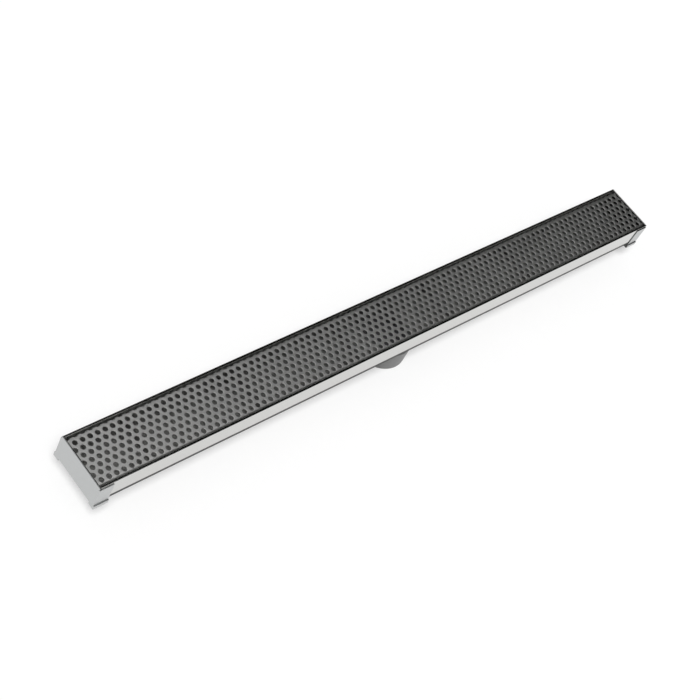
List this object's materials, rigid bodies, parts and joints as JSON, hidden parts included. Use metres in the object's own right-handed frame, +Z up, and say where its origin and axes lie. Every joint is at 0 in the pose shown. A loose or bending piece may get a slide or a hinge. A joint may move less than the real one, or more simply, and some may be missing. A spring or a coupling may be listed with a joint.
{
  "type": "channel drain",
  "caption": "Long shallow drain channel of folded steel with a perforated drop-in grate, cast end caps with feet and a pipe hub under its middle.",
  "frame": {"origin": "centre of the hub's open lower end, on the ground that the hub stands on", "axes": "+X along the channel, +Z up towards the grate, +Y across the channel"},
  "size_m": [0.9144, 0.075, 0.062],
  "materials": {
    "channel_steel": "polished",
    "cast_steel": "satin",
    "grate_steel": "satin",
    "inner_steel": "satin",
    "hub_plastic": "matt",
    "gasket_rubber": "matt"
  },
  "bodies": {
    "root": {"channel": "channel_steel", "left_end_cap": "cast_steel", "right_end_cap": "cast_steel", "left_end_gasket": "gasket_rubber", "right_end_gasket": "gasket_rubber", "grate": "grate_steel", "grate_support_1": "inner_steel", "grate_support_2": "inner_steel", "grate_support_3": "inner_steel", "grate_support_4": "inner_steel", "grate_support_5": "inner_steel", "grate_support_6": "inner_steel", "outlet_hub": "hub_plastic", "outlet_gasket": "gasket_rubber", "clamp_plate": "inner_steel", "clamp_screw_1": "inner_steel", "clamp_screw_2": "inner_steel", "clamp_screw_3": "inner_steel", "clamp_screw_4": "inner_steel"}
  },
  "joints": []
}
